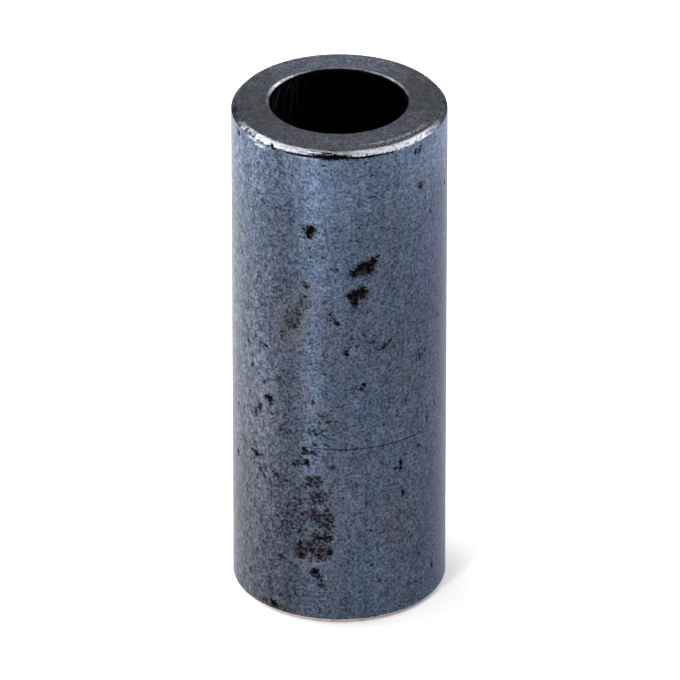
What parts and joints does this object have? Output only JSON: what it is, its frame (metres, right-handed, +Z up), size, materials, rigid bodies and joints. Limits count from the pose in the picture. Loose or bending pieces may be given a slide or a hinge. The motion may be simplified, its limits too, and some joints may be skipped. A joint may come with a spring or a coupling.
{
  "type": "spacer sleeve",
  "caption": "Plain cylindrical steel spacer sleeve with a through bore, faced ends, chamfered outer edges and a worn blue-grey oxide skin.",
  "frame": {"origin": "centre of the bore at the lower end face, on the surface that the sleeve stands on", "axes": "+Z up along the axis of the bore, from the lower end face to the upper one; X and Y are alike, because the sleeve is turned about Z"},
  "size_m": [0.016, 0.016, 0.04],
  "materials": {
    "oxidised_steel": "drawn steel tube under a blue-grey oxide skin, pitted and speckled with rust, rubbed bright along the upper edges"
  },
  "bodies": {
    "root": {"spacer_sleeve": "oxidised_steel"}
  },
  "joints": []
}
